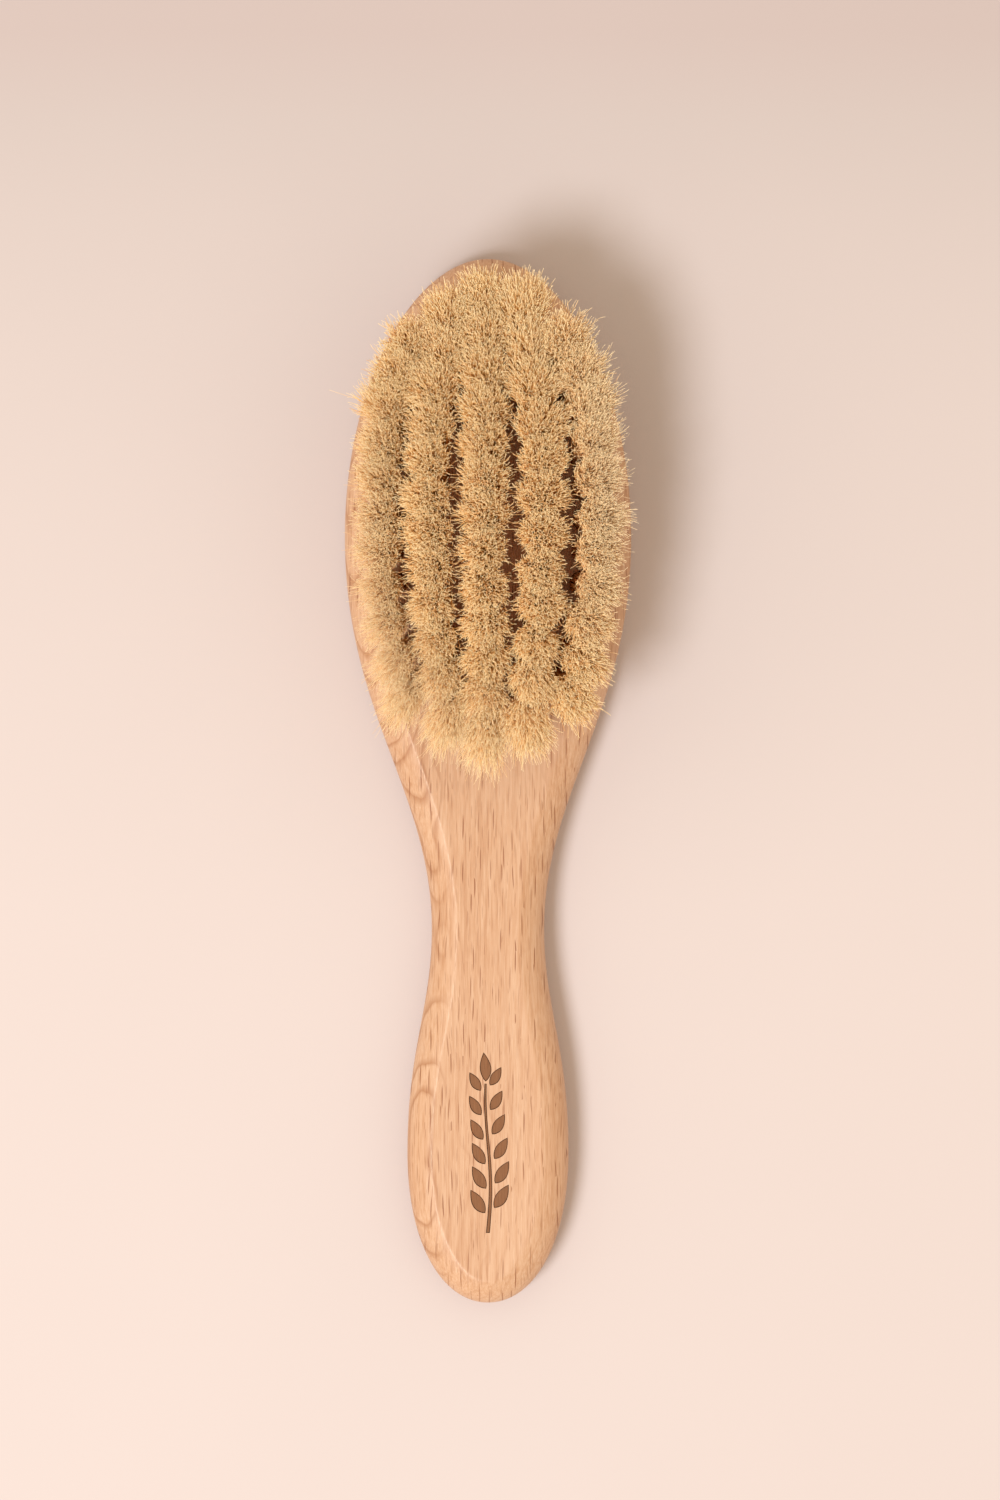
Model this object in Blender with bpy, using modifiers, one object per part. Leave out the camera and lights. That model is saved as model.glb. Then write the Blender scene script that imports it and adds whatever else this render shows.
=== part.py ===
"""Clothes brush: a one-piece beech body, handle and oval head, filled with tufts of natural hair.

Metres, +Z up. The body lies on its flat back with the hair upwards. The handle ends at -Y, the head at +Y,
and the origin is on the back face, under the middle of the whole brush.
"""

import math

import bmesh
import bpy
from mathutils import Vector

# Body: half widths and the places along Y where they are reached
LENGTH = 0.180
THICKNESS = 0.010
HEAD_HALF_WIDTH, HEAD_Y = 0.0247, 0.0421
NECK_HALF_WIDTH, NECK_Y = 0.0097, -0.0256
GRIP_HALF_WIDTH, GRIP_Y = 0.0139, -0.0642
# How far the outline's curve handles reach from each of those places
CROWN_REACH = 0.0126
HEAD_REACH_OUT, HEAD_REACH_IN = 0.0267, 0.0307
NECK_REACH_HEAD, NECK_REACH_GRIP = 0.0238, 0.0137
GRIP_REACH_NECK, GRIP_REACH_END = 0.0184, 0.0157
BUTT_REACH = 0.0079
OUTLINE_STEPS = 12
EDGE_ROUND = 0.0043
EDGE_SEGMENTS = 5

# Hair: how the tufts' tips are laid out, and how the holes fan in below them
HAIR_LENGTH = 0.020
TUFTS_IN_ROW = (11, 12, 13, 12, 11)
LANES = (-1.0, -0.53, 0.0, 0.53, 1.0)
TIP_PITCH = 0.0062
FIELD_Y = 0.0448
FIELD_HALF_WIDTH = 0.0189
FIELD_HALF_LENGTH = 0.0464
ROOT_FAN = 0.88

# One tuft and its hole
HOLE_RADIUS = 0.0021
HOLE_DEPTH = 0.0065
SHANK_DEPTH = 0.0055
FIT_GAP = 0.0003
SHANK_RADIUS = HOLE_RADIUS - FIT_GAP
TIP_HALF_LENGTH = 0.00285
TIP_LANE_SHARE = 0.43
SIDES = 12
CUTTER_OVERRUN = 0.0025
# The tuft's sections: height above the wood as a share of the hair, and how far the shank has opened to the tip
TUFT_SECTIONS = ((0.0, 0.0), (0.45, 0.72), (0.93, 1.0), (1.0, 0.86))

# sRGB-linear colour, roughness
BEECH = ((0.60, 0.35, 0.20), 0.50)
HAIR = ((0.52, 0.36, 0.20), 0.72)


def clear_scene():
    for obj in list(bpy.data.objects):
        bpy.data.objects.remove(obj, do_unlink=True)


def new_collection(name):
    collection = bpy.data.collections.new(name)
    bpy.context.scene.collection.children.link(collection)
    return collection


def principled(name, look):
    colour, roughness = look
    material = bpy.data.materials.new(name)
    material.use_nodes = True
    shader = material.node_tree.nodes["Principled BSDF"]
    shader.inputs["Base Color"].default_value = (*colour, 1.0)
    shader.inputs["Roughness"].default_value = roughness
    shader.inputs["Metallic"].default_value = 0.0
    return material


def outline_knots():
    """The right-hand half of the outline, from the head's end to the handle's: knot, handle before, handle after."""
    end = LENGTH / 2
    return (
        (Vector((0.0, end)), Vector((-CROWN_REACH, end)), Vector((CROWN_REACH, end))),
        upright_knot(HEAD_HALF_WIDTH, HEAD_Y, HEAD_REACH_OUT, HEAD_REACH_IN),
        upright_knot(NECK_HALF_WIDTH, NECK_Y, NECK_REACH_HEAD, NECK_REACH_GRIP),
        upright_knot(GRIP_HALF_WIDTH, GRIP_Y, GRIP_REACH_NECK, GRIP_REACH_END),
        (Vector((0.0, -end)), Vector((BUTT_REACH, -end)), Vector((-BUTT_REACH, -end))),
    )


def upright_knot(x, y, reach_up, reach_down):
    return Vector((x, y)), Vector((x, y + reach_up)), Vector((x, y - reach_down))


def mirrored(knot):
    """The same knot on the other side, where the outline runs back up."""
    point, before, after = (Vector((-v.x, v.y)) for v in knot)
    return point, after, before


def outline_curve():
    """A filled flat outline of the whole body, extruded to its thickness."""
    curve = bpy.data.curves.new("body_outline", "CURVE")
    curve.dimensions = "2D"
    curve.fill_mode = "BOTH"
    curve.resolution_u = OUTLINE_STEPS
    curve.extrude = THICKNESS / 2
    half = outline_knots()
    knots = half + tuple(mirrored(knot) for knot in reversed(half[1:-1]))
    spline = curve.splines.new("BEZIER")
    spline.use_cyclic_u = True
    spline.bezier_points.add(len(knots) - 1)
    for bezier_point, (point, before, after) in zip(spline.bezier_points, knots):
        bezier_point.handle_left_type = bezier_point.handle_right_type = "FREE"
        bezier_point.co = (*point, 0.0)
        bezier_point.handle_left = (*before, 0.0)
        bezier_point.handle_right = (*after, 0.0)
    return curve


def mesh_from_curve(name, curve, location):
    """The curve made a closed mesh object, its loose caps welded to its sides."""
    guide = bpy.data.objects.new(name + "_guide", curve)
    bpy.context.scene.collection.objects.link(guide)
    guide.location = location
    bpy.context.view_layer.update()
    evaluated = guide.evaluated_get(bpy.context.evaluated_depsgraph_get())
    mesh = bpy.data.meshes.new_from_object(evaluated)
    mesh.name = name
    solid = bmesh.new()
    solid.from_mesh(mesh)
    bmesh.ops.remove_doubles(solid, verts=solid.verts, dist=1e-6)
    bmesh.ops.dissolve_limit(
        solid, angle_limit=math.radians(1), verts=solid.verts, edges=solid.edges
    )
    bmesh.ops.recalc_face_normals(solid, faces=solid.faces)
    solid.to_mesh(mesh)
    solid.free()
    obj = bpy.data.objects.new(name, mesh)
    obj.matrix_world = guide.matrix_world
    bpy.data.objects.remove(guide, do_unlink=True)
    bpy.data.curves.remove(curve)
    return obj


def round_edges(obj):
    bevel = obj.modifiers.new("round_edges", "BEVEL")
    bevel.width = EDGE_ROUND
    bevel.segments = EDGE_SEGMENTS
    bevel.limit_method = "ANGLE"
    bevel.angle_limit = math.radians(60)
    bevel.use_clamp_overlap = False


def cut_with(obj, cutters):
    boolean = obj.modifiers.new("tuft_holes", "BOOLEAN")
    boolean.operation = "DIFFERENCE"
    boolean.operand_type = "COLLECTION"
    boolean.collection = cutters
    boolean.solver = "EXACT"


def make_body(parts, cutters, material):
    body = mesh_from_curve("wood_body", outline_curve(), (0.0, 0.0, THICKNESS / 2))
    parts.objects.link(body)
    body.data.materials.clear()
    body.data.materials.append(material)
    round_edges(body)
    cut_with(body, cutters)
    body.data.shade_smooth()
    body.data.set_sharp_from_angle(angle=math.radians(40))


def tuft_places():
    """Row number, number in the row, tip centre, root centre on the wood, and the tip's half width."""
    for row, (count, lane) in enumerate(zip(TUFTS_IN_ROW, LANES), 1):
        for index in range(count):
            along = (index - (count - 1) / 2) * TIP_PITCH
            room = FIELD_HALF_WIDTH * math.sqrt(1 - (along / FIELD_HALF_LENGTH) ** 2)
            tip = Vector((lane * room, FIELD_Y + along, THICKNESS + HAIR_LENGTH))
            root = Vector((tip.x * ROOT_FAN, FIELD_Y + along * ROOT_FAN, THICKNESS))
            yield row, index + 1, tip, root, TIP_LANE_SHARE * room / 2


def make_hole_cutter(name, tip, root, cutters):
    """A cylinder along the tuft's own line, from the hole's bottom to above the wood."""
    along = (tip - root).normalized()
    length = HOLE_DEPTH + CUTTER_OVERRUN
    mesh = bpy.data.meshes.new(name)
    solid = bmesh.new()
    bmesh.ops.create_cone(
        solid, cap_ends=True, segments=SIDES, radius1=HOLE_RADIUS, radius2=HOLE_RADIUS, depth=length
    )
    solid.to_mesh(mesh)
    solid.free()
    cutter = bpy.data.objects.new(name, mesh)
    cutters.objects.link(cutter)
    cutter.rotation_mode = "QUATERNION"
    cutter.rotation_quaternion = Vector((0, 0, 1)).rotation_difference(along)
    cutter.location = root + along * (CUTTER_OVERRUN - length / 2)
    cutter.hide_render = True
    cutter.display_type = "WIRE"


def ring(solid, centre, half_width, half_length):
    """A level oval of vertices round a centre."""
    vertices = []
    for side in range(SIDES):
        angle = 2 * math.pi * (side + 0.5) / SIDES
        offset = Vector((half_width * math.cos(angle), half_length * math.sin(angle), 0.0))
        vertices.append(solid.verts.new(centre + offset))
    return vertices


def make_tuft(name, tip, root, half_width, parts, material):
    """A loft from the round shank at the bottom of the hole to the oval, level-cut tip."""
    rise = (tip - root) / HAIR_LENGTH
    solid = bmesh.new()
    rings = [ring(solid, rise * -SHANK_DEPTH, SHANK_RADIUS, SHANK_RADIUS)]
    for share, opening in TUFT_SECTIONS:
        x = SHANK_RADIUS + (half_width - SHANK_RADIUS) * opening
        y = SHANK_RADIUS + (TIP_HALF_LENGTH - SHANK_RADIUS) * opening
        rings.append(ring(solid, rise * HAIR_LENGTH * share, x, y))
    for lower, upper in zip(rings, rings[1:]):
        for side in range(SIDES):
            after = (side + 1) % SIDES
            solid.faces.new((lower[side], lower[after], upper[after], upper[side]))
    solid.faces.new(reversed(rings[0]))
    solid.faces.new(rings[-1])
    mesh = bpy.data.meshes.new(name)
    solid.to_mesh(mesh)
    solid.free()
    mesh.materials.append(material)
    mesh.shade_smooth()
    mesh.set_sharp_from_angle(angle=math.radians(40))
    tuft = bpy.data.objects.new(name, mesh)
    tuft.location = root
    parts.objects.link(tuft)


def main():
    clear_scene()
    parts = new_collection("clothes_brush")
    cutters = new_collection("cutters")
    beech = principled("beech", BEECH)
    hair = principled("natural_hair", HAIR)
    for row, number, tip, root, half_width in tuft_places():
        name = f"row{row}_{number:02d}"
        make_hole_cutter("hole_" + name, tip, root, cutters)
        make_tuft("tuft_" + name, tip, root, half_width, parts, hair)
    make_body(parts, cutters, beech)


main()
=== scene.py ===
"""Clothes brush, looks: the beech body with its sanded edges and a burnt-in leaf sprig, the hair of every
tuft, and the wire anchors in the holes. Metres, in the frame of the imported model.
"""

import math
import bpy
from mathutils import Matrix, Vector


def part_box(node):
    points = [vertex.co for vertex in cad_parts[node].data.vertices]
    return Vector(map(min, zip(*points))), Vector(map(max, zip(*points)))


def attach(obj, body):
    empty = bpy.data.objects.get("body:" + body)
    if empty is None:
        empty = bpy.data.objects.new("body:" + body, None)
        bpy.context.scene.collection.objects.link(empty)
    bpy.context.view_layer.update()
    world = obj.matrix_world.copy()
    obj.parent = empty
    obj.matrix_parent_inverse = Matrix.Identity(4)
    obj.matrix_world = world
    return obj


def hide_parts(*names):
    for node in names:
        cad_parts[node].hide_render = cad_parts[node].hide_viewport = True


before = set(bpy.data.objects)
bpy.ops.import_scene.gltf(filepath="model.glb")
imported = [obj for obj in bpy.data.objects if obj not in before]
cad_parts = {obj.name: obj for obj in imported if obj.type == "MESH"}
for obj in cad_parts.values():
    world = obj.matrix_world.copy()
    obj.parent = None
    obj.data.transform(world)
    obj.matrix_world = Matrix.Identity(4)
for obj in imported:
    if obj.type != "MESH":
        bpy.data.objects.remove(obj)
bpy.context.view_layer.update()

from types import SimpleNamespace

import bmesh
import bpy
import numpy as np
from mathutils import Vector
from mathutils.geometry import interpolate_bezier

MM = 0.001
BODY_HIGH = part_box("wood_body")[1]
TOP = BODY_HIGH[2]
TUFTS = sorted(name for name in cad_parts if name.startswith("tuft_"))

# Outline of the body, the same stations and curve reaches as the model's
HALF_LENGTH = BODY_HIGH[1]
HEAD_HALF_WIDTH, HEAD_Y = 24.7 * MM, 42.1 * MM
NECK_HALF_WIDTH, NECK_Y = 9.7 * MM, -25.6 * MM
GRIP_HALF_WIDTH, GRIP_Y = 13.9 * MM, -64.2 * MM
CROWN_REACH, BUTT_REACH = 12.6 * MM, 7.9 * MM
HEAD_REACHES = 26.7 * MM, 30.7 * MM
NECK_REACHES = 23.8 * MM, 13.7 * MM
GRIP_REACHES = 18.4 * MM, 15.7 * MM
OUTLINE_STEPS = 80

# Sanded edge: how far in the flat face starts, and the slope of the crease there
EDGE_INSET = 4.3 * MM
EDGE_DEPTH = 4.7 * MM
CREASE_SLOPE = math.radians(22)
CREASE_SOFTNESS = 0.22 * MM
EDGE_RINGS = 14
# How far hand sanding lets the crease wander in and out
INSET_WANDER = 0.12 * MM

HOLE_RADIUS = 2.1 * MM
HOLE_DEPTH = 6.5 * MM
HOLE_SIDES = 32
HOLE_OVERRUN = 2 * MM

# Burnt-in sprig on the handle. The stem's half widths are at its foot and its tip, and the leaves' sizes are
# the lowest pair's and what the highest pair lacks of them, all in mm
SPRIG_FOOT_Y, SPRIG_TIP_Y = -77.5 * MM, -46.5 * MM
STEM_HALF_WIDTHS = 0.34, 0.2
STEM_SWAY = 0.45 * MM
LEAF_PAIRS = 6
LEAF_STEPS = 14
LEAF_LENGTH, LEAF_SHORTENS = 4.7, 1.0
LEAF_HALF_WIDTH, LEAF_NARROWS = 1.05, 0.2
LEAF_OFFSET = 0.75 * MM
RIGHT_LEAF_HIGHER = 0.9 * MM
TIP_LEAF = 5.4 * MM
BURN_DEPTH = 0.16 * MM
BURN_EDGE_DEPTH = 0.24 * MM
BURN_EDGE_WIDTH = 0.13 * MM

# Hair. A hair's length, the heights of its sections above the wood and the lengths of its waves are in mm
FIBRES = 1000
FIBRE_SIDES = 3
ROOT_RADIUS, TIP_RADIUS = 0.060 * MM, 0.044 * MM
THICKNESS_VARIES = 0.75, 1.2
SHANK_RADIUS = 1.85 * MM
HAIR_LENGTH = 20.0
RING_HEIGHTS = (-5.2, 2.0, 8.0, 11.8, 14.8, 17.2, 18.9, HAIR_LENGTH)
# The cut: how unevenly it falls, how much shorter a tuft's outermost hairs are across and along the row, and
# how much shorter the field's are at the handle's end
UNEVEN_CUT = 1.6, 0.28
DOME_ACROSS, DOME_ALONG = 2.1 * MM, 0.3 * MM
FOOT_TRIM = 0.8 * MM
# How many times wider and longer each tuft's tip is than the CAD tuft's, how far it strays, and how its hairs
# open out to it from the round shank, across and along the row
TUFT_WIDTH_VARIES = 0.88, 1.1
TUFT_LENGTH_VARIES = 1.4, 1.55
TUFT_STRAYS = 0.3 * MM
FLARE_POWERS = 1.9, 1.5
CLUMPS = 110
CLUMP_PULL = 0.25
# Each hair's own ways: how far it strays, bows and hooks at its tip, and the few that hook the furthest
SCATTER = 0.36 * MM
BOW = 0.3 * MM
HOOK, CLUMP_HOOK, STRAY_HOOK = 0.25 * MM, 0.14 * MM, 0.9 * MM
STRAY_SHARE = 0.02
# Each hair's own long waves, which cross it over its neighbours, and the curl of its last few millimetres
WAVE_HEIGHT = 0.5 * MM
WAVE_LENGTHS = 9.0, 15.0
CURL = 0.14 * MM
CURL_FROM = 16.5
# How far each row's tips lean sideways, how wide they open, how far its last tufts at the head's end lean
# back, and how far those at the handle's end lean out; row 1 first
ROW_LEANS = (0.0, -0.35 * MM, -0.8 * MM, -0.5 * MM, 0.1 * MM)
ROW_WIDTHS = (0.94, 1.14, 1.22, 1.21, 1.04)
ROW_ENDS = (2.8 * MM, 0.2 * MM, 0.5 * MM, -2.0 * MM, 1.7 * MM)
ROW_FEET = (0.2 * MM, 1.8 * MM, 1.0 * MM, 2.1 * MM, 0.0)
# Where those last tufts start, at the head's and at the handle's end, with 0 at the field's middle and 1 at its
# end; over how much of the field they come to lean in full; where tufts start to open wider; and how much
HEAD_END_FROM, FOOT_END_FROM = 0.35, 0.5
END_SPAN = 0.4
HEAD_WIDENS_FROM, FOOT_WIDENS_FROM = 0.2, 0.4
WIDENING = 0.85
# The middle and half sizes of the whole field of tips, how far it is drawn in at the head's end, how far its
# outermost hairs splay, how much further at the handle's end, and how much finer they are
FIELD_Y = 44.8 * MM
FIELD_HALF = np.array((23.0, 40.5)) * MM
HEAD_PINCH = 2.2 * MM
RIM_SPLAY = 0.65 * MM
FOOT_SPLAY = 1.9 * MM
RIM_THINNING = 0.45
# How much the hairs' normals turn up, for the light that real hair lets through; the way that light goes; and
# how much the normals turn against it on the field's far side
UPWARD_SHADING = 1.35
AWAY_FROM_LIGHT = np.array((0.74, 0.67))
FAR_SIDE_SHADING = 0.9
SEED = 20


# ---------------------------------------------------------------- small helpers

def new_object(name, data):
    obj = bpy.data.objects.new(name, data)
    bpy.context.scene.collection.objects.link(obj)
    return obj


def mesh_from_arrays(name, points, faces_by_size):
    """A mesh from vertex rows and a list of face index arrays, each of one size."""
    mesh = bpy.data.meshes.new(name)
    mesh.vertices.add(len(points))
    mesh.vertices.foreach_set("co", np.asarray(points, np.float32).ravel())
    corners = np.concatenate([faces.ravel() for faces in faces_by_size]).astype(np.int32)
    sizes = np.concatenate([np.full(len(faces), faces.shape[1]) for faces in faces_by_size])
    starts = np.concatenate([[0], np.cumsum(sizes)[:-1]]).astype(np.int32)
    mesh.loops.add(len(corners))
    mesh.loops.foreach_set("vertex_index", corners)
    mesh.polygons.add(len(sizes))
    mesh.polygons.foreach_set("loop_start", starts)
    mesh.update(calc_edges=True)
    return mesh


class Graph:
    """Short calls for building one material's nodes."""

    def __init__(self, name):
        self.material = bpy.data.materials.new(name)
        self.material.use_nodes = True
        self.tree = self.material.node_tree
        self.shader = self.tree.nodes["Principled BSDF"]

    def put(self, socket, value):
        """Link another node's output to a socket, or set its number; None leaves it as it is."""
        if isinstance(value, bpy.types.NodeSocket):
            self.tree.links.new(value, socket)
        elif value is not None:
            socket.default_value = value

    def surface(self, name, value):
        """The same for a socket of the material's shader."""
        self.put(self.shader.inputs[name], value)

    def math(self, operation, a, b=None, c=None, clamp=False):
        node = self.tree.nodes.new("ShaderNodeMath")
        node.operation = operation
        node.use_clamp = clamp
        for socket, value in zip(node.inputs, (a, b, c)):
            self.put(socket, value)
        return node.outputs[0]

    def vector(self, operation, a, b=None):
        node = self.tree.nodes.new("ShaderNodeVectorMath")
        node.operation = operation
        self.put(node.inputs[0], a)
        self.put(node.inputs[1], b)
        return node.outputs["Value"] if operation == "LENGTH" else node.outputs["Vector"]

    def combine(self, x, y, z):
        node = self.tree.nodes.new("ShaderNodeCombineXYZ")
        for socket, value in zip(node.inputs, (x, y, z)):
            self.put(socket, value)
        return node.outputs[0]

    def separate(self, vector):
        node = self.tree.nodes.new("ShaderNodeSeparateXYZ")
        self.put(node.inputs[0], vector)
        return node.outputs

    def centred(self, value, amount, base, clamp=False):
        """A base, and an amount of how far a 0 to 1 value is from its middle."""
        return self.math("MULTIPLY_ADD", self.math("SUBTRACT", value, 0.5), amount, base, clamp=clamp)

    def noise(self, place, cycles, detail=2.0, roughness=0.5):
        """Noise, 0 to 1, with its cycles per millimetre along each axis."""
        scaled = self.vector("MULTIPLY", place, cycles)
        node = self.tree.nodes.new("ShaderNodeTexNoise")
        self.put(node.inputs["Vector"], scaled)
        node.inputs["Scale"].default_value = 1.0
        node.inputs["Detail"].default_value = detail
        node.inputs["Roughness"].default_value = roughness
        return node.outputs["Fac"]

    def voronoi(self, vector):
        node = self.tree.nodes.new("ShaderNodeTexVoronoi")
        self.put(node.inputs["Vector"], vector)
        node.inputs["Scale"].default_value = 1.0
        return node

    def ramp(self, fac, stops):
        """Stops of (place, colour), or of (place, number) for a grey."""
        node = self.tree.nodes.new("ShaderNodeValToRGB")
        elements = node.color_ramp.elements
        while len(elements) < len(stops):
            elements.new(0.5)
        for element, (place, colour) in zip(elements, stops):
            element.position = place
            rgb = colour if isinstance(colour, tuple) else (colour, colour, colour)
            element.color = (*rgb, 1.0)
        self.put(node.inputs[0], fac)
        return node.outputs[0]

    def mix(self, fac, a, b, blend="MIX"):
        node = self.tree.nodes.new("ShaderNodeMix")
        node.data_type = "RGBA"
        node.blend_type = blend
        self.put(node.inputs["Factor"], fac)
        for socket, value in zip(node.inputs[6:8], (a, b)):
            self.put(socket, (*value, 1.0) if isinstance(value, tuple) else value)
        return node.outputs[2]

    def bump(self, height, strength, distance):
        node = self.tree.nodes.new("ShaderNodeBump")
        node.inputs["Strength"].default_value = strength
        node.inputs["Distance"].default_value = distance
        self.put(node.inputs["Height"], height)
        self.surface("Normal", node.outputs[0])

    def millimetres(self):
        """The object's own coordinates in millimetres."""
        node = self.tree.nodes.new("ShaderNodeTexCoord")
        return self.vector("MULTIPLY", node.outputs["Object"], (1000.0, 1000.0, 1000.0))

    def attribute(self, name):
        node = self.tree.nodes.new("ShaderNodeAttribute")
        node.attribute_name = name
        return node.outputs["Fac"]


# ---------------------------------------------------------------- materials

# Beech, linear colours
BEECH_LIGHT = (0.655, 0.422, 0.270)
BEECH_MID = (0.584, 0.341, 0.198)
BEECH_DARK = (0.475, 0.238, 0.118)
RING_LINE = (0.38, 0.165, 0.070)
FLECK = (0.29, 0.108, 0.040)
# Painted highlight: a pale line along the crease of the left edge, the side the light comes from
CREASE_PAINTED_HIGHLIGHT = (0.74, 0.52, 0.36)
# The log's pith below and beside the board, and the width of a year's ring, in mm
PITH_X, PITH_Z = 34.0, -40.0
RING_WIDTH = 1.35
# The rays' ends on the face: cell, half sizes and strength of the big and the small ones, in mm
RAYS = (
    ((1.8, 6.6, 60.0), (0.13, 2.4, 90.0), 1.0),
    ((1.1, 4.4, 60.0), (0.095, 1.5, 90.0), 0.5),
)
# The burnt mark's floor and rim, dark and light, and the pitch of its raster lines in mm
BURNT_FLOOR = (0.16, 0.065, 0.027), (0.30, 0.142, 0.068)
BURNT_RIM = (0.075, 0.029, 0.012), (0.15, 0.06, 0.026)
RASTER_PITCH = 0.24
# Hair from root to tip: straw colour with painted shade and light, darker and redder towards the roots for the
# shade deep in the tuft and the orange light that comes through the hair there, pale at the cut tips; and what
# a hair's own tone multiplies it by
HAIR_ALONG_WITH_DEPTH_SHADE = (
    (0.0, (0.88, 0.35, 0.11)),
    (0.5, (0.97, 0.48, 0.16)),
    (0.87, (1.0, 0.66, 0.28)),
    (1.0, (1.0, 0.83, 0.53)),
)
HAIR_TONES = (
    (0.0, (0.78, 0.52, 0.34)),
    (0.3, (0.96, 0.87, 0.76)),
    (0.6, (1.0, 0.99, 0.96)),
    (1.0, (1.0, 1.0, 1.0)),
)
# Next two: painted light round the field's rim, paler hair on the side away from the light for the light real
# hair lets through, and painted shade, duller hair on the side towards it
FAR_RIM_PAINTED_LIGHT = (1.0, 0.86, 0.63)
NEAR_RIM_PAINTED_SHADE = (0.82, 0.69, 0.51)
MOTTLED_HAIR = (0.78, 0.46, 0.17)
STEEL_DARK, STEEL_LIGHT = (0.42, 0.41, 0.40), (0.60, 0.59, 0.57)
# Paper, and the painted shade that darkens it towards the floor's far end, for the light falling off there
PAPER_DARK, PAPER_LIGHT = (0.625, 0.548, 0.529), (0.650, 0.570, 0.550)
PAPER_PAINTED_FALLOFF = (
    (0.42, 1.0),
    (0.67, 0.955),
    (0.81, 0.92),
    (0.875, 0.898),
    (0.94, 0.862),
    (1.0, (0.835, 0.806, 0.806)),
)


def ring_lines(g, place):
    """0 to 1: the dark line at the end of each year's growth, clearest where the edge cuts along it."""
    x, _, z = g.separate(place)
    across = g.combine(g.math("SUBTRACT", x, PITH_X), 0.0, g.math("SUBTRACT", z, PITH_Z))
    slow = g.noise(place, (0.05, 0.05, 0.05), detail=1.0)
    quick = g.noise(place, (0.4, 0.12, 0.4))
    distance = g.vector("LENGTH", across)
    distance = g.math("MULTIPLY_ADD", slow, 7.0, distance)
    distance = g.math("MULTIPLY_ADD", quick, 0.6, distance)
    phase = g.math("FRACT", g.math("DIVIDE", distance, RING_WIDTH))
    line = g.ramp(phase, ((0.0, 0.5), (0.08, 0.0), (0.72, 0.05), (0.96, 1.0), (1.0, 0.5)))
    along_edge = g.ramp(g.math("MULTIPLY_ADD", x, -0.05, 0.0), ((0.33, 0.26), (0.5, 1.0)))
    return g.math("MULTIPLY", line, along_edge)


def ray_flecks(g, place):
    """0 to 1: the short dark dashes where the wood's rays end."""
    wander = g.noise(place, (0.3, 0.1, 0.05), detail=1.0)
    x, y, z = g.separate(place)
    place = g.combine(g.math("MULTIPLY_ADD", wander, 1.1, x), y, z)
    total = None
    for cell, half, strength in RAYS:
        scaled = g.vector("DIVIDE", place, cell)
        cells = g.voronoi(scaled)
        offset = g.vector("SUBTRACT", scaled, cells.outputs["Position"])
        offset = g.vector("MULTIPLY", offset, tuple(size / reach for size, reach in zip(cell, half)))
        inside = g.math("SUBTRACT", 1.0, g.vector("LENGTH", offset), clamp=True)
        inside = g.math("MULTIPLY", inside, 2.8, clamp=True)
        chance = g.separate(cells.outputs["Color"])[0]
        weight = g.ramp(chance, ((0.0, 0.15), (0.3, 0.4), (0.55, 0.8), (1.0, 1.0)))
        dash = g.math("MULTIPLY", g.math("MULTIPLY", inside, weight), strength)
        total = dash if total is None else g.math("MAXIMUM", total, dash)
    return total


def crease_painted_highlight(g, place, pores):
    """0 to 1: a painted highlight, a pale, broken line along the crease of the left edge, on the side the light
    comes from.
    """
    left = g.ramp(g.math("MULTIPLY_ADD", g.separate(place)[0], -0.05, 0.5), ((0.45, 0.12), (0.7, 1.0)))
    crease = g.ramp(g.attribute("crease"), ((0.35, 0.0), (1.0, 1.0)))
    broken = g.math("MULTIPLY", crease, g.ramp(pores, ((0.4, 0.0), (0.65, 0.8))))
    return g.math("MULTIPLY", broken, left)


def beech():
    """Streaks, grain and patches set the tone, and rings, pores, flecks and a painted highlight along the
    crease lie over it.
    """
    g = Graph("beech")
    place = g.millimetres()
    streaks = g.noise(place, (1.7, 0.045, 1.7), detail=3.0, roughness=0.65)
    grain = g.noise(place, (4.4, 0.15, 4.4), detail=3.0, roughness=0.7)
    pores = g.noise(place, (8.0, 0.6, 8.0), detail=1.0)
    patches = g.noise(place, (0.11, 0.035, 0.11))
    rings = ring_lines(g, place)
    flecks = ray_flecks(g, place)
    tone = g.centred(streaks, 1.3, 0.57)
    tone = g.centred(grain, 1.9, tone)
    tone = g.centred(patches, 0.7, tone, clamp=True)
    colour = g.ramp(tone, ((0.0, BEECH_DARK), (0.5, BEECH_MID), (1.0, BEECH_LIGHT)))
    colour = g.mix(g.math("MULTIPLY", rings, 0.75), colour, RING_LINE)
    dots = g.ramp(pores, ((0.6, 0.0), (0.75, 0.3)))
    colour = g.mix(dots, colour, BEECH_DARK)
    colour = g.mix(g.math("MULTIPLY", flecks, 0.95), colour, FLECK)
    # Painted highlight along the crease of the left edge
    colour = g.mix(crease_painted_highlight(g, place, pores), colour, CREASE_PAINTED_HIGHLIGHT)
    g.surface("Base Color", colour)
    g.surface("Roughness", g.math("MULTIPLY_ADD", grain, 0.16, 0.40))
    height = g.math("MULTIPLY_ADD", grain, 0.7, g.math("MULTIPLY", flecks, -0.6))
    g.bump(g.math("SUBTRACT", height, dots), 0.25, 0.07 * MM)
    g.surface("Specular IOR Level", 0.42)
    return g.material


def burnt(name, dark, light):
    """Laser-burnt beech: fine lengthwise raster lines, and the grain showing through."""
    g = Graph(name)
    place = g.millimetres()
    raster = g.math("SINE", g.math("MULTIPLY", g.separate(place)[0], 2 * math.pi / RASTER_PITCH))
    grain = g.noise(place, (5.0, 0.4, 5.0), detail=3.0, roughness=0.6)
    tone = g.math("MULTIPLY_ADD", raster, 0.16, grain, clamp=True)
    flecks = ray_flecks(g, place)
    colour = g.mix(tone, dark, light)
    colour = g.mix(g.math("MULTIPLY", flecks, 0.6), colour, FLECK)
    g.surface("Base Color", colour)
    g.bump(tone, 0.3, 0.05 * MM)
    g.surface("Roughness", 0.75)
    g.surface("Specular IOR Level", 0.2)
    return g.material


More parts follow.
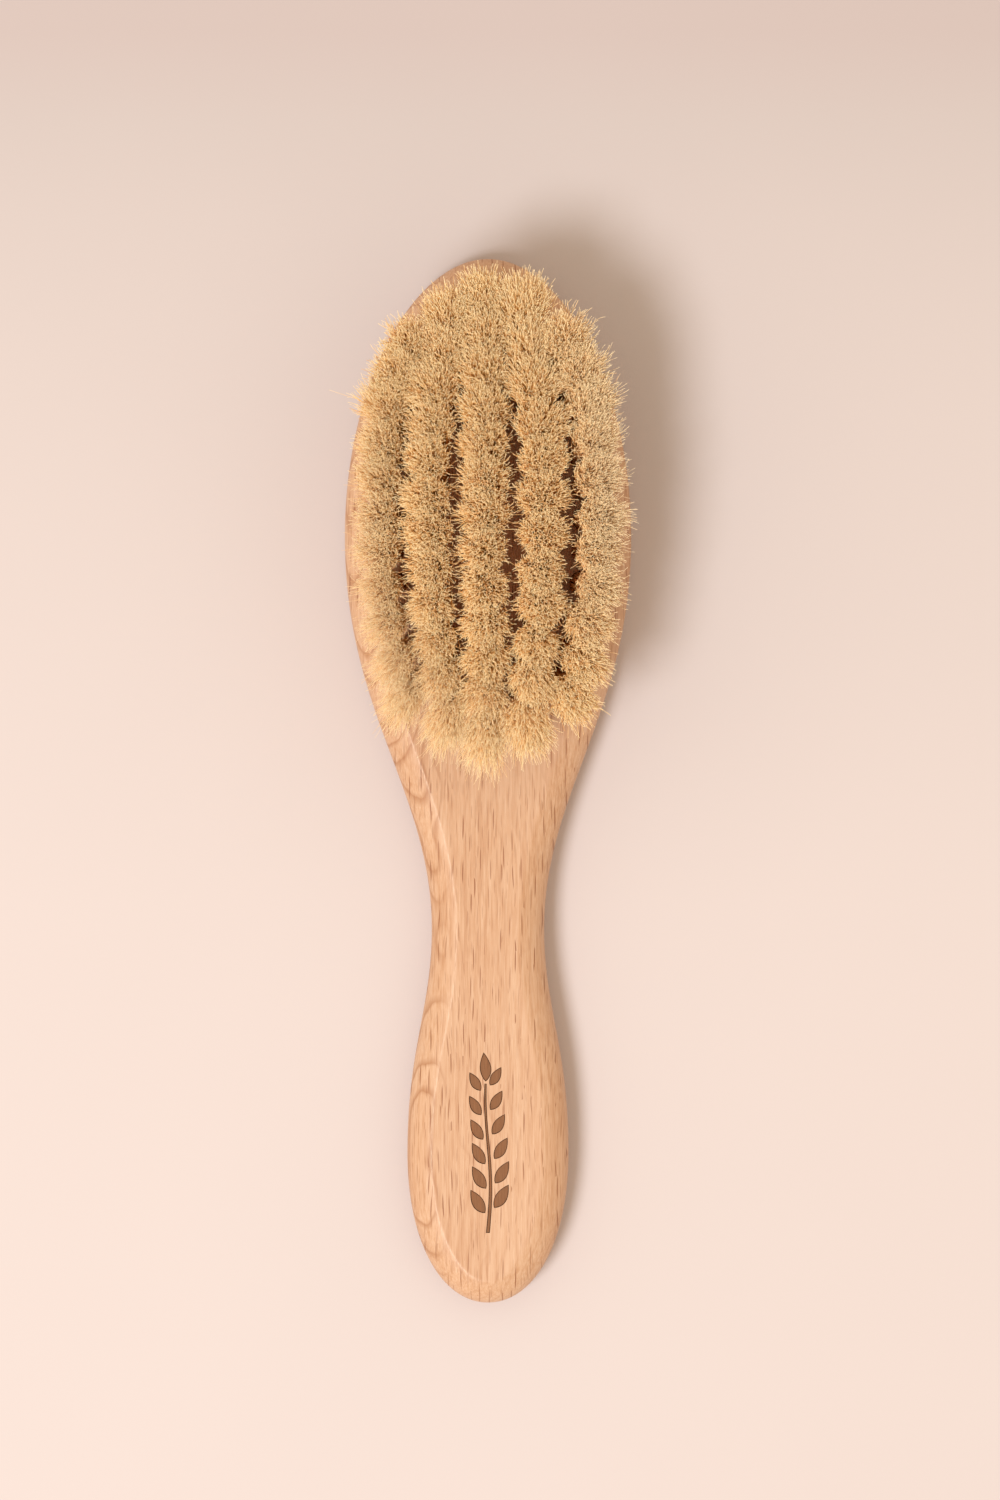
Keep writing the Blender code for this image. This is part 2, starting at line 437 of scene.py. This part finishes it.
def hair():
    """Straw-coloured animal hair, each hair a little different, with light and shade painted in: brown in the
    depth as painted shade, pale at the cut tips, paler round the rim away from the light and duller round the
    rim towards it.
    """
    g = Graph("natural_hair")
    along = g.attribute("along")
    tone = g.attribute("tone")
    # The colour along each hair holds painted shade, darker and redder towards the roots
    colour = g.mix(1.0, g.ramp(along, HAIR_ALONG_WITH_DEPTH_SHADE), g.ramp(tone, HAIR_TONES), blend="MULTIPLY")
    mottle = g.noise(g.millimetres(), (2.0, 2.0, 0.8))
    rim = g.attribute("rim")
    # Painted light on the rim's far side and painted shade on its near side
    colour = g.mix(g.math("MULTIPLY", rim, 0.65, clamp=True), colour, FAR_RIM_PAINTED_LIGHT)
    colour = g.mix(g.math("MULTIPLY", rim, -0.35, clamp=True), colour, NEAR_RIM_PAINTED_SHADE)
    colour = g.mix(g.math("MULTIPLY", mottle, 0.2), colour, MOTTLED_HAIR)
    g.surface("Base Color", colour)
    g.surface("Roughness", g.math("MULTIPLY_ADD", tone, 0.2, 0.5))
    g.surface("Specular IOR Level", 0.12)
    return g.material


def wire():
    g = Graph("anchor_steel")
    drawn = g.noise(g.millimetres(), (20.0, 1.0, 20.0), detail=3.0)
    g.surface("Base Color", g.mix(drawn, STEEL_DARK, STEEL_LIGHT))
    g.surface("Roughness", g.math("MULTIPLY_ADD", drawn, 0.25, 0.25))
    g.surface("Metallic", 1.0)
    return g.material


def backdrop():
    """Pale paper, with painted shade that darkens it a little towards its far end along +Y, for the light
    falling off there.
    """
    g = Graph("pale_backdrop")
    place = g.millimetres()
    cloud = g.noise(place, (0.012, 0.012, 0.012))
    colour = g.mix(cloud, PAPER_DARK, PAPER_LIGHT)
    # Painted shade: darker towards the far end along +Y, where the light falls off
    far_falloff = g.math("MULTIPLY_ADD", g.separate(place)[1], 1 / 260, 0.5)
    colour = g.mix(1.0, colour, g.ramp(far_falloff, PAPER_PAINTED_FALLOFF), blend="MULTIPLY")
    g.surface("Base Color", colour)
    g.surface("Roughness", 0.9)
    g.surface("Specular IOR Level", 0.1)
    return g.material


# ---------------------------------------------------------------- body

def upright_knot(x, y, reaches):
    return Vector((x, y)), Vector((x, y + reaches[0])), Vector((x, y - reaches[1]))


def outline_points():
    """The body's outline, clockwise seen from above, from the head's end: one row for each point."""
    end = HALF_LENGTH
    knots = (
        (Vector((0, end)), None, Vector((CROWN_REACH, end))),
        upright_knot(HEAD_HALF_WIDTH, HEAD_Y, HEAD_REACHES),
        upright_knot(NECK_HALF_WIDTH, NECK_Y, NECK_REACHES),
        upright_knot(GRIP_HALF_WIDTH, GRIP_Y, GRIP_REACHES),
        (Vector((0, -end)), Vector((BUTT_REACH, -end)), None),
    )
    right = []
    for first, second in zip(knots, knots[1:]):
        right += interpolate_bezier(first[0], first[2], second[1], second[0], OUTLINE_STEPS)[:-1]
    right = np.array([(p.x, p.y) for p in right] + [(0.0, -end)])
    left = right[-2:0:-1] * (-1.0, 1.0)
    return np.vstack([right, left])


def inward_normals(points):
    along = np.roll(points, -1, axis=0) - np.roll(points, 1, axis=0)
    normals = np.column_stack([along[:, 1], -along[:, 0]])
    return normals / np.linalg.norm(normals, axis=1, keepdims=True)


def edge_profile():
    """(inset as a share of the flat's inset, depth below the face) from the crease out to the widest line."""
    rows = []
    for step in range(EDGE_RINGS + 1):
        angle = CREASE_SLOPE + (math.pi / 2 - CREASE_SLOPE) * step / EDGE_RINGS
        inset = (1 - math.sin(angle)) / (1 - math.sin(CREASE_SLOPE))
        depth = (math.cos(CREASE_SLOPE) - math.cos(angle)) / math.cos(CREASE_SLOPE)
        rows.append((inset, depth * EDGE_DEPTH))
    return rows


def body_rings():
    """The outline drawn in and down over both sanded edges, and the number of the ring on the crease."""
    outline = outline_points()
    inward = inward_normals(outline)
    turn = np.linspace(0, 2 * math.pi, len(outline), endpoint=False)
    wander = INSET_WANDER * (np.sin(3 * turn + 0.7) + 0.6 * np.sin(7 * turn + 2.1))
    softened = [(1 + 1.6 * CREASE_SOFTNESS / EDGE_INSET, 0.0), (1 + CREASE_SOFTNESS / EDGE_INSET, 0.005 * MM)]
    profile = softened + [(inset, depth + 0.03 * MM) for inset, depth in edge_profile()]
    levels = [(share, TOP - depth) for share, depth in profile]
    levels += [(share, depth) for share, depth in reversed(profile)]
    rings = []
    for share, z in levels:
        inset = share * (EDGE_INSET + wander)
        ring = outline + inward * inset[:, None]
        rings.append(np.column_stack([ring, np.full(len(ring), z)]))
    return rings, len(softened)


def body_mesh():
    """The body's rings joined, and closed by the flat front and back."""
    rings, crease_ring = body_rings()
    count = len(rings[0])
    around = np.arange(count)
    after = (around + 1) % count
    sides = []
    for level in range(len(rings) - 1):
        upper, lower = level * count, (level + 1) * count
        sides.append(np.column_stack([upper + around, upper + after, lower + after, lower + around]))
    front = around[::-1][None, :]
    back = ((len(rings) - 1) * count + around)[None, :]
    mesh = mesh_from_arrays("beech_body", np.vstack(rings), [np.vstack(sides), front, back])
    smooth = np.ones(len(mesh.polygons), bool)
    smooth[-2:] = False
    mesh.polygons.foreach_set("use_smooth", smooth)
    crease = np.zeros((len(rings), count), np.float32)
    crease[crease_ring] = 1.0
    mesh.attributes.new("crease", "FLOAT", "POINT").data.foreach_set("value", crease.ravel())
    return mesh


def tuft_line(name):
    """Root centre on the wood, tip centre, and the tip's half sizes along X and Y, read from the CAD tuft."""
    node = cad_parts[name]
    points = np.array([node.matrix_world @ v.co for v in node.data.vertices])
    low = points[points[:, 2] < points[:, 2].min() + 0.5 * MM].mean(axis=0)
    tips = points[points[:, 2] > points[:, 2].max() - 0.1 * MM]
    tip = tips.mean(axis=0)
    root = low + (tip - low) * (TOP - low[2]) / (tip[2] - low[2])
    return root, tip, np.ptp(tips[:, 0]) / 2, np.ptp(tips[:, 1]) / 2


def add_hole(cutter, root, tip):
    """A cylinder down the tuft's own line, from above the wood to the hole's bottom."""
    along = Vector(tip - root).normalized()
    length = HOLE_DEPTH + HOLE_OVERRUN
    made = bmesh.ops.create_cone(
        cutter, cap_ends=True, segments=HOLE_SIDES, radius1=HOLE_RADIUS, radius2=HOLE_RADIUS, depth=length
    )
    turn = Vector((0, 0, 1)).rotation_difference(along).to_matrix()
    middle = Vector(root) + along * (HOLE_OVERRUN - length / 2)
    for vertex in made["verts"]:
        vertex.co = turn @ vertex.co + middle


def add_burn(cutter, outline):
    """A shallow pocket with a deeper rim, under a closed anticlockwise outline. Its floor takes material slot
    1, and its rim slot 2."""
    inner = outline + inward_normals(outline[::-1])[::-1] * BURN_EDGE_WIDTH
    levels = (
        (outline, TOP + 0.5 * MM),
        (outline, TOP - BURN_EDGE_DEPTH),
        (inner, TOP - BURN_EDGE_DEPTH),
        (inner, TOP - BURN_DEPTH),
    )
    rings = [[cutter.verts.new((x, y, z)) for x, y in line] for line, z in levels]
    count = len(outline)
    cutter.faces.new(rings[0])
    for upper, lower in zip(rings, rings[1:]):
        for i in range(count):
            j = (i + 1) % count
            face = cutter.faces.new((upper[j], upper[i], lower[i], lower[j]))
            face.material_index = 2
    floor = cutter.faces.new(list(reversed(rings[-1])))
    floor.material_index = 1


def leaf_outline(foot, direction, length, half_width, bend=0.12):
    """A pointed leaf, anticlockwise, its foot at the given point."""
    direction = np.array(direction) / np.linalg.norm(direction)
    side = np.array((-direction[1], direction[0]))
    share = np.linspace(0, 1, LEAF_STEPS + 1)
    width = half_width * np.sin(math.pi * share ** 0.85) ** 0.9
    spine = share[:, None] * length * direction + (bend * length * share ** 2)[:, None] * side
    right = spine - side * width[:, None]
    left = spine + side * width[:, None]
    return foot + np.vstack([right, left[-2:0:-1]])


def stem_x(y):
    """The stem's gentle S."""
    share = (y - SPRIG_FOOT_Y) / (SPRIG_TIP_Y - SPRIG_FOOT_Y)
    return STEM_SWAY * math.sin(2 * math.pi * share)


def add_sprig(cutter):
    """A stem, a leaf at its tip, and pairs of leaves along it, the right one of each pair a little higher."""
    ys = np.linspace(SPRIG_FOOT_Y, SPRIG_TIP_Y - TIP_LEAF, 30)
    width = np.linspace(*STEM_HALF_WIDTHS, len(ys)) * MM
    xs = np.array([stem_x(y) for y in ys])
    right = np.column_stack([xs + width, ys])
    left = np.column_stack([xs - width, ys])
    add_burn(cutter, np.vstack([right, left[::-1]]))
    top = ys[-1] + 0.35 * MM
    add_burn(cutter, leaf_outline(np.array((stem_x(top), top)), (0.05, 1), TIP_LEAF - 0.4 * MM, 1.0 * MM))
    for pair in range(LEAF_PAIRS):
        share = pair / (LEAF_PAIRS - 1)
        y = SPRIG_FOOT_Y + 3.4 * MM + share * (ys[-1] - SPRIG_FOOT_Y - 4.6 * MM)
        length = (LEAF_LENGTH - LEAF_SHORTENS * share) * MM
        half_width = (LEAF_HALF_WIDTH - LEAF_NARROWS * share) * MM
        for side in (-1, 1):
            foot = np.array((stem_x(y) + side * LEAF_OFFSET, y + (RIGHT_LEAF_HIGHER if side > 0 else 0)))
            add_burn(cutter, leaf_outline(foot, (side * 0.78, 1.0), length, half_width, bend=0.1 * side))


def cutter_object(lines, materials):
    """One mesh that cuts every hole and the sprig, with the materials it leaves on their walls."""
    cutter = bmesh.new()
    for root, tip, _, _ in lines.values():
        add_hole(cutter, root, tip)
    add_sprig(cutter)
    mesh = bpy.data.meshes.new("cuts")
    cutter.to_mesh(mesh)
    cutter.free()
    for material in materials:
        mesh.materials.append(material)
    return new_object("cuts", mesh)


def make_body(lines):
    body = new_object("beech_body", body_mesh())
    materials = beech(), burnt("burnt_floor", *BURNT_FLOOR), burnt("burnt_rim", *BURNT_RIM)
    for material in materials:
        body.data.materials.append(material)
    cuts = cutter_object(lines, materials)
    cut = body.modifiers.new("cuts", "BOOLEAN")
    cut.operation = "DIFFERENCE"
    cut.object = cuts
    cut.solver = "EXACT"
    bpy.context.view_layer.update()
    evaluated = body.evaluated_get(bpy.context.evaluated_depsgraph_get())
    result = bpy.data.meshes.new_from_object(evaluated)
    body.modifiers.remove(cut)
    body.data = result
    bpy.data.objects.remove(cuts, do_unlink=True)
    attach(body, "root")
    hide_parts("wood_body")


# ---------------------------------------------------------------- hair

def disc_points(rng, count):
    """Points spread over the unit disc, some of them a little outside it."""
    share = np.sqrt(rng.random(count)) + np.clip(rng.normal(-0.12, 0.2, count), 0, 0.5)
    turn = rng.random(count) * 2 * math.pi
    return np.column_stack([np.cos(turn), np.sin(turn)]) * share[:, None]


def tuft_spread(rng, row, foot, away, half_x, half_y):
    """How far each hair's tip is from the tuft's middle, drawn towards its clump, and that clump's number.
    The last tufts of each row open wider, to close the field's ends."""
    closing = max(0.0, away - HEAD_WIDENS_FROM) if away > 0 else max(0.0, -away - FOOT_WIDENS_FROM)
    wide = ROW_WIDTHS[row] * rng.uniform(*TUFT_WIDTH_VARIES) * (1 + WIDENING * closing)
    size = np.array((half_x * wide, half_y * rng.uniform(*TUFT_LENGTH_VARIES))) + 0.1 * MM
    spread = foot * size
    clumps = disc_points(rng, CLUMPS) * size
    nearest = np.argmin(np.linalg.norm(spread[:, None] - clumps[None], axis=2), axis=1)
    return spread + (clumps[nearest] - spread) * CLUMP_PULL, nearest


def near_end(away, start):
    return min(1.0, max(0.0, (away - start) / END_SPAN)) ** 2


def tuft_lean(rng, row, root, tip, away):
    """How far the whole tuft's tip is from above its root."""
    head_end = near_end(away, HEAD_END_FROM)
    foot_end = near_end(-away, FOOT_END_FROM)
    drawn_in = HEAD_PINCH * head_end * tip[0] / FIELD_HALF[0]
    back = ROW_ENDS[row] * head_end + ROW_FEET[row] * foot_end
    return (tip - root)[:2] + (ROW_LEANS[row] - drawn_in, -back) + rng.normal(0, TUFT_STRAYS, 2)


def rim_splay(rng, place, low):
    """How far the hairs round the field splay outwards: further at the handle's end, where low is over 0."""
    outer = np.clip(np.linalg.norm(place, axis=1) / 0.25 - 3.2, 0, 1.5)
    reach = RIM_SPLAY * np.minimum(rng.gamma(1.5, 0.9, FIBRES), 3.2) * outer
    reach += FOOT_SPLAY * rng.uniform(0.1, 1.6, FIBRES) * low ** 2
    outward = place + rng.normal(0, 0.35, (FIBRES, 2))
    return outward / np.linalg.norm(outward, axis=1, keepdims=True) * reach[:, None]


def own_ways(rng, clump):
    """What each hair of a tuft does of its own."""
    scatter = rng.normal(0, SCATTER, (FIBRES, 2))
    hook = rng.normal(0, HOOK, (FIBRES, 2)) + rng.normal(0, CLUMP_HOOK, (CLUMPS, 2))[clump]
    stray = rng.random(FIBRES) < STRAY_SHARE
    hook[stray] += rng.normal(0, STRAY_HOOK, (stray.sum(), 2))
    bow = rng.normal(0, BOW, (FIBRES, 2))
    facing = rng.random(FIBRES) * 2 * math.pi
    wave = np.column_stack([np.cos(facing), np.sin(facing)])
    wave = wave * rng.uniform(0.4, 1.4, (FIBRES, 1)) * WAVE_HEIGHT
    curl = rng.normal(0, CURL, (FIBRES, 2))
    phase = rng.random(FIBRES) * 2 * math.pi
    pace = 2 * math.pi / rng.uniform(*WAVE_LENGTHS, FIBRES)
    return SimpleNamespace(scatter=scatter, hook=hook, bow=bow, wave=wave, curl=curl, phase=phase, pace=pace)


def rim_share(place):
    """How much each hair belongs to the field's rim, the head's end left out: up to 1 on the side away from
    the light, down to -1 on the side towards it."""
    radius = np.linalg.norm(place, axis=1)
    upper = np.clip(place[:, 1] / radius, 0, 1)
    return np.clip(radius / 0.3 - 2, 0, 1) * (1 - upper) * (place @ AWAY_FROM_LIGHT) / radius


def fibre_paths(rng, row, root, tip, half_x, half_y):
    """Centre lines of one tuft's hairs (fibres, ring levels, xyz), and how much each belongs to the rim."""
    foot = disc_points(rng, FIBRES)
    away = (tip[1] - FIELD_Y) / FIELD_HALF[1]
    spread, clump = tuft_spread(rng, row, foot, away, half_x, half_y)
    lean = tuft_lean(rng, row, root, tip, away)
    place = (root[:2] + lean + spread - (0, FIELD_Y)) / FIELD_HALF
    low = np.clip(-place[:, 1] - 0.7, 0, 0.4) / 0.3
    splay = rim_splay(rng, place, low)
    own = own_ways(rng, clump)
    length = HAIR_LENGTH * MM - rng.gamma(*UNEVEN_CUT, FIBRES) * MM
    length -= DOME_ACROSS * foot[:, 0] ** 2
    length -= DOME_ALONG * foot[:, 1] ** 2
    length -= FOOT_TRIM * low ** 2
    paths = np.empty((FIBRES, len(RING_HEIGHTS), 3))
    for ring, height in enumerate(RING_HEIGHTS):
        up = max(height, 0) / HAIR_LENGTH
        flare = np.array([up ** power for power in FLARE_POWERS])
        end = max(0.0, (up - 0.6) / 0.4) ** 1.5
        curled = max(0.0, (height - CURL_FROM) / (HAIR_LENGTH - CURL_FROM)) ** 2
        level = root[:2] + lean * height / HAIR_LENGTH + foot * SHANK_RADIUS * (1 - flare) + spread * flare
        level += splay * up ** 2.2 + own.scatter * up ** 1.5 + own.hook * end + own.bow * up * (1 - up) * 4
        level += own.wave * (np.sin(own.phase + own.pace * height) * up ** 3)[:, None]
        level += own.curl * curled
        paths[:, ring, :2] = level
        paths[:, ring, 2] = TOP + (up * length if height > 0 else height * MM)
    return paths, rim_share(place)


def unwrap_fibres(mesh, fibres, places, extent):
    """A UV layer for baking, OFBake: every fibre in its own cell of a square grid, clear of the next."""
    margin = 0.12
    across = math.ceil(math.sqrt(fibres))
    cell = np.column_stack([np.arange(fibres) % across, np.arange(fibres) // across])[:, None]
    parts = [(cell + margin + (1 - 2 * margin) * np.array(place) / extent) / across for place in places]
    layer = mesh.uv_layers.new(name="OFBake")
    layer.data.foreach_set("uv", np.concatenate([part.ravel() for part in parts]).astype(np.float32))


def fibre_faces(fibres, rings):
    """Each fibre's faces, by size, and the (side, ring) places of their corners in its UV cell."""
    start = (np.arange(fibres) * rings * FIBRE_SIDES)[:, None]
    quads, places = [], []
    for ring in range(rings - 1):
        for side in range(FIBRE_SIDES):
            after = (side + 1) % FIBRE_SIDES
            low, high = ring * FIBRE_SIDES, (ring + 1) * FIBRE_SIDES
            quads.append(start + np.array((low + side, low + after, high + after, high + side)))
            places.append(((side, ring), (side + 1, ring), (side + 1, ring + 1), (side, ring + 1)))
    last = (rings - 1) * FIBRE_SIDES
    end = np.arange(FIBRE_SIDES)
    caps = [start + end[::-1], start + last + end]
    places += [[(side, 0) for side in end[::-1]], [(side, rings - 1) for side in end]]
    return [np.vstack(quads), np.vstack(caps)], places


def fibre_normals(paths, sides, rim):
    """Normals square to each hair's run, turned up, and towards the light on the rim's far side."""
    run = np.gradient(paths, axis=1)
    run = (run / np.linalg.norm(run, axis=2, keepdims=True))[:, :, None]
    sides = sides[:, None]
    facing = sides - (sides * run).sum(axis=3, keepdims=True) * run + (0, 0, UPWARD_SHADING)
    facing[..., :2] -= FAR_SIDE_SHADING * np.clip(rim, 0, 1)[:, None, None, None] * AWAY_FROM_LIGHT
    facing = facing.reshape(-1, 3)
    return facing / np.linalg.norm(facing, axis=1, keepdims=True)


def fibre_mesh(name, rng, paths, rim):
    """Thin tapered prisms along the paths, each closed at both ends."""
    fibres, rings, _ = paths.shape
    along = np.clip(np.array(RING_HEIGHTS) / HAIR_LENGTH, 0, 1)
    thickness = rng.uniform(*THICKNESS_VARIES, fibres) * (1 - RIM_THINNING * np.abs(rim))
    radius = (ROOT_RADIUS + (TIP_RADIUS - ROOT_RADIUS) * along ** 2)[None, :] * thickness[:, None]
    turn = rng.random(fibres)[:, None] * 2 * math.pi + np.arange(FIBRE_SIDES) * 2 * math.pi / FIBRE_SIDES
    sides = np.stack([np.cos(turn), np.sin(turn), np.zeros_like(turn)], axis=-1)
    points = paths[:, :, None, :] + sides[:, None, :, :] * radius[:, :, None, None]
    faces, places = fibre_faces(fibres, rings)
    mesh = mesh_from_arrays(name, points.reshape(-1, 3), faces)
    unwrap_fibres(mesh, fibres, places, (FIBRE_SIDES, rings - 1))
    mesh.polygons.foreach_set("use_smooth", np.ones(len(mesh.polygons), bool))
    mesh.normals_split_custom_set_from_vertices(fibre_normals(paths, sides, rim))
    tone = np.clip(rng.normal(0.5, 0.26, fibres), 0, 1)
    for label, values in (
        ("along", np.tile(np.repeat(along, FIBRE_SIDES), fibres)),
        ("tone", np.repeat(tone, rings * FIBRE_SIDES)),
        ("rim", np.repeat(rim, rings * FIBRE_SIDES)),
    ):
        mesh.attributes.new(label, "FLOAT", "POINT").data.foreach_set("value", values.astype(np.float32))
    return mesh


def make_hair(lines):
    material = hair()
    for number, (name, line) in enumerate(lines.items()):
        rng = np.random.default_rng(SEED + number)
        row = int(name[len("tuft_row")]) - 1
        paths, rim = fibre_paths(rng, row, *line)
        piece = new_object(name.replace("tuft", "hair"), fibre_mesh(name, rng, paths, rim))
        piece.data.materials.append(material)
        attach(piece, "root")
        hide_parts(name)


# ---------------------------------------------------------------- anchors

# One anchor's half width, height, half thickness and clipped corners
ANCHOR_HALF_WIDTH, ANCHOR_HEIGHT = 1.9 * MM, 2.2 * MM
ANCHOR_HALF_THICKNESS = 0.17 * MM
ANCHOR_CORNER = 0.3 * MM


def anchor_outline():
    """A flat piece of wire with clipped corners, as (x, z) points."""
    outline = []
    for x, z in ((1, 0), (1, 1), (-1, 1), (-1, 0)):
        inward = (1 if z == 0 else -1) * ANCHOR_CORNER
        near = (x * (ANCHOR_HALF_WIDTH - ANCHOR_CORNER), z * ANCHOR_HEIGHT)
        far = (x * ANCHOR_HALF_WIDTH, z * ANCHOR_HEIGHT + inward)
        outline += [near, far] if (x > 0) == (z == 0) else [far, near]
    return outline


def add_anchor(solid, root, tip):
    along = Vector(tip - root).normalized()
    turn = Vector((0, 0, 1)).rotation_difference(along).to_matrix()
    foot = Vector(root) - along * (HOLE_DEPTH - 0.15 * MM)
    outline = anchor_outline()
    rings = []
    for y in (-ANCHOR_HALF_THICKNESS, ANCHOR_HALF_THICKNESS):
        rings.append([solid.verts.new(turn @ Vector((x, y, z)) + foot) for x, z in outline])
    front, back = rings
    count = len(outline)
    solid.faces.new(front)
    solid.faces.new(list(reversed(back)))
    for i in range(count):
        j = (i + 1) % count
        solid.faces.new((front[j], front[i], back[i], back[j]))


def make_anchors(lines):
    """A piece of wire across the bottom of each hole, all in one mesh."""
    solid = bmesh.new()
    for root, tip, _, _ in lines.values():
        add_anchor(solid, root, tip)
    bmesh.ops.recalc_face_normals(solid, faces=solid.faces)
    mesh = bpy.data.meshes.new("tuft_anchors")
    solid.to_mesh(mesh)
    solid.free()
    piece = new_object("tuft_anchors", mesh)
    mesh.materials.append(wire())
    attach(piece, "root")


# ---------------------------------------------------------------- stage

# Where the picture's centre falls on the brush, and how much of it the picture's height shows
VIEW_X, VIEW_Y = 2.07 * MM, 5.3 * MM
VIEW_HEIGHT = 258.9 * MM
CAMERA_DISTANCE = 0.75
SENSOR = 36.0
# Towards the key light from the middle of the brush, per unit of height
KEY_SLOPE = Vector((-0.44, -0.39, 1.0))
KEY_HEIGHT = 1.4
KEY_SIZE = 0.57
KEY_POWER = 19.9
KEY_COLOUR = (0.905, 0.946, 1.0)
KEY_AIM = Vector((0.0, 0.02, 0.0))
SKY_COLOUR = (1.0, 0.835, 0.65, 1.0)
SKY_STRENGTH = 0.896
FLOOR_HALF_SIZE = 2.0


def make_camera():
    data = bpy.data.cameras.new("camera")
    data.sensor_width = SENSOR
    data.lens = SENSOR * CAMERA_DISTANCE / VIEW_HEIGHT
    camera = new_object("camera", data)
    camera.location = (VIEW_X, VIEW_Y, TOP / 2 + CAMERA_DISTANCE)
    bpy.context.scene.camera = camera


def make_floor():
    mesh = bpy.data.meshes.new("floor")
    solid = bmesh.new()
    bmesh.ops.create_grid(solid, x_segments=1, y_segments=1, size=FLOOR_HALF_SIZE)
    solid.to_mesh(mesh)
    solid.free()
    floor = new_object("floor", mesh)
    mesh.materials.append(backdrop())


def make_key_light():
    data = bpy.data.lights.new("key", "AREA")
    data.shape = "DISK"
    data.size = KEY_SIZE
    data.energy = KEY_POWER
    data.color = KEY_COLOUR
    lamp = new_object("key", data)
    lamp.location = KEY_SLOPE * KEY_HEIGHT
    lamp.rotation_euler = (lamp.location - KEY_AIM).to_track_quat("Z", "Y").to_euler()


def make_sky():
    world = bpy.data.worlds.new("studio")
    bpy.context.scene.world = world
    world.use_nodes = True
    background = world.node_tree.nodes["Background"]
    background.inputs["Color"].default_value = SKY_COLOUR
    background.inputs["Strength"].default_value = SKY_STRENGTH


make_camera()
tuft_lines = {name: tuft_line(name) for name in TUFTS}
make_body(tuft_lines)
make_hair(tuft_lines)
make_anchors(tuft_lines)
make_floor()
make_key_light()
make_sky()
bpy.context.scene.view_settings.view_transform = "Standard"
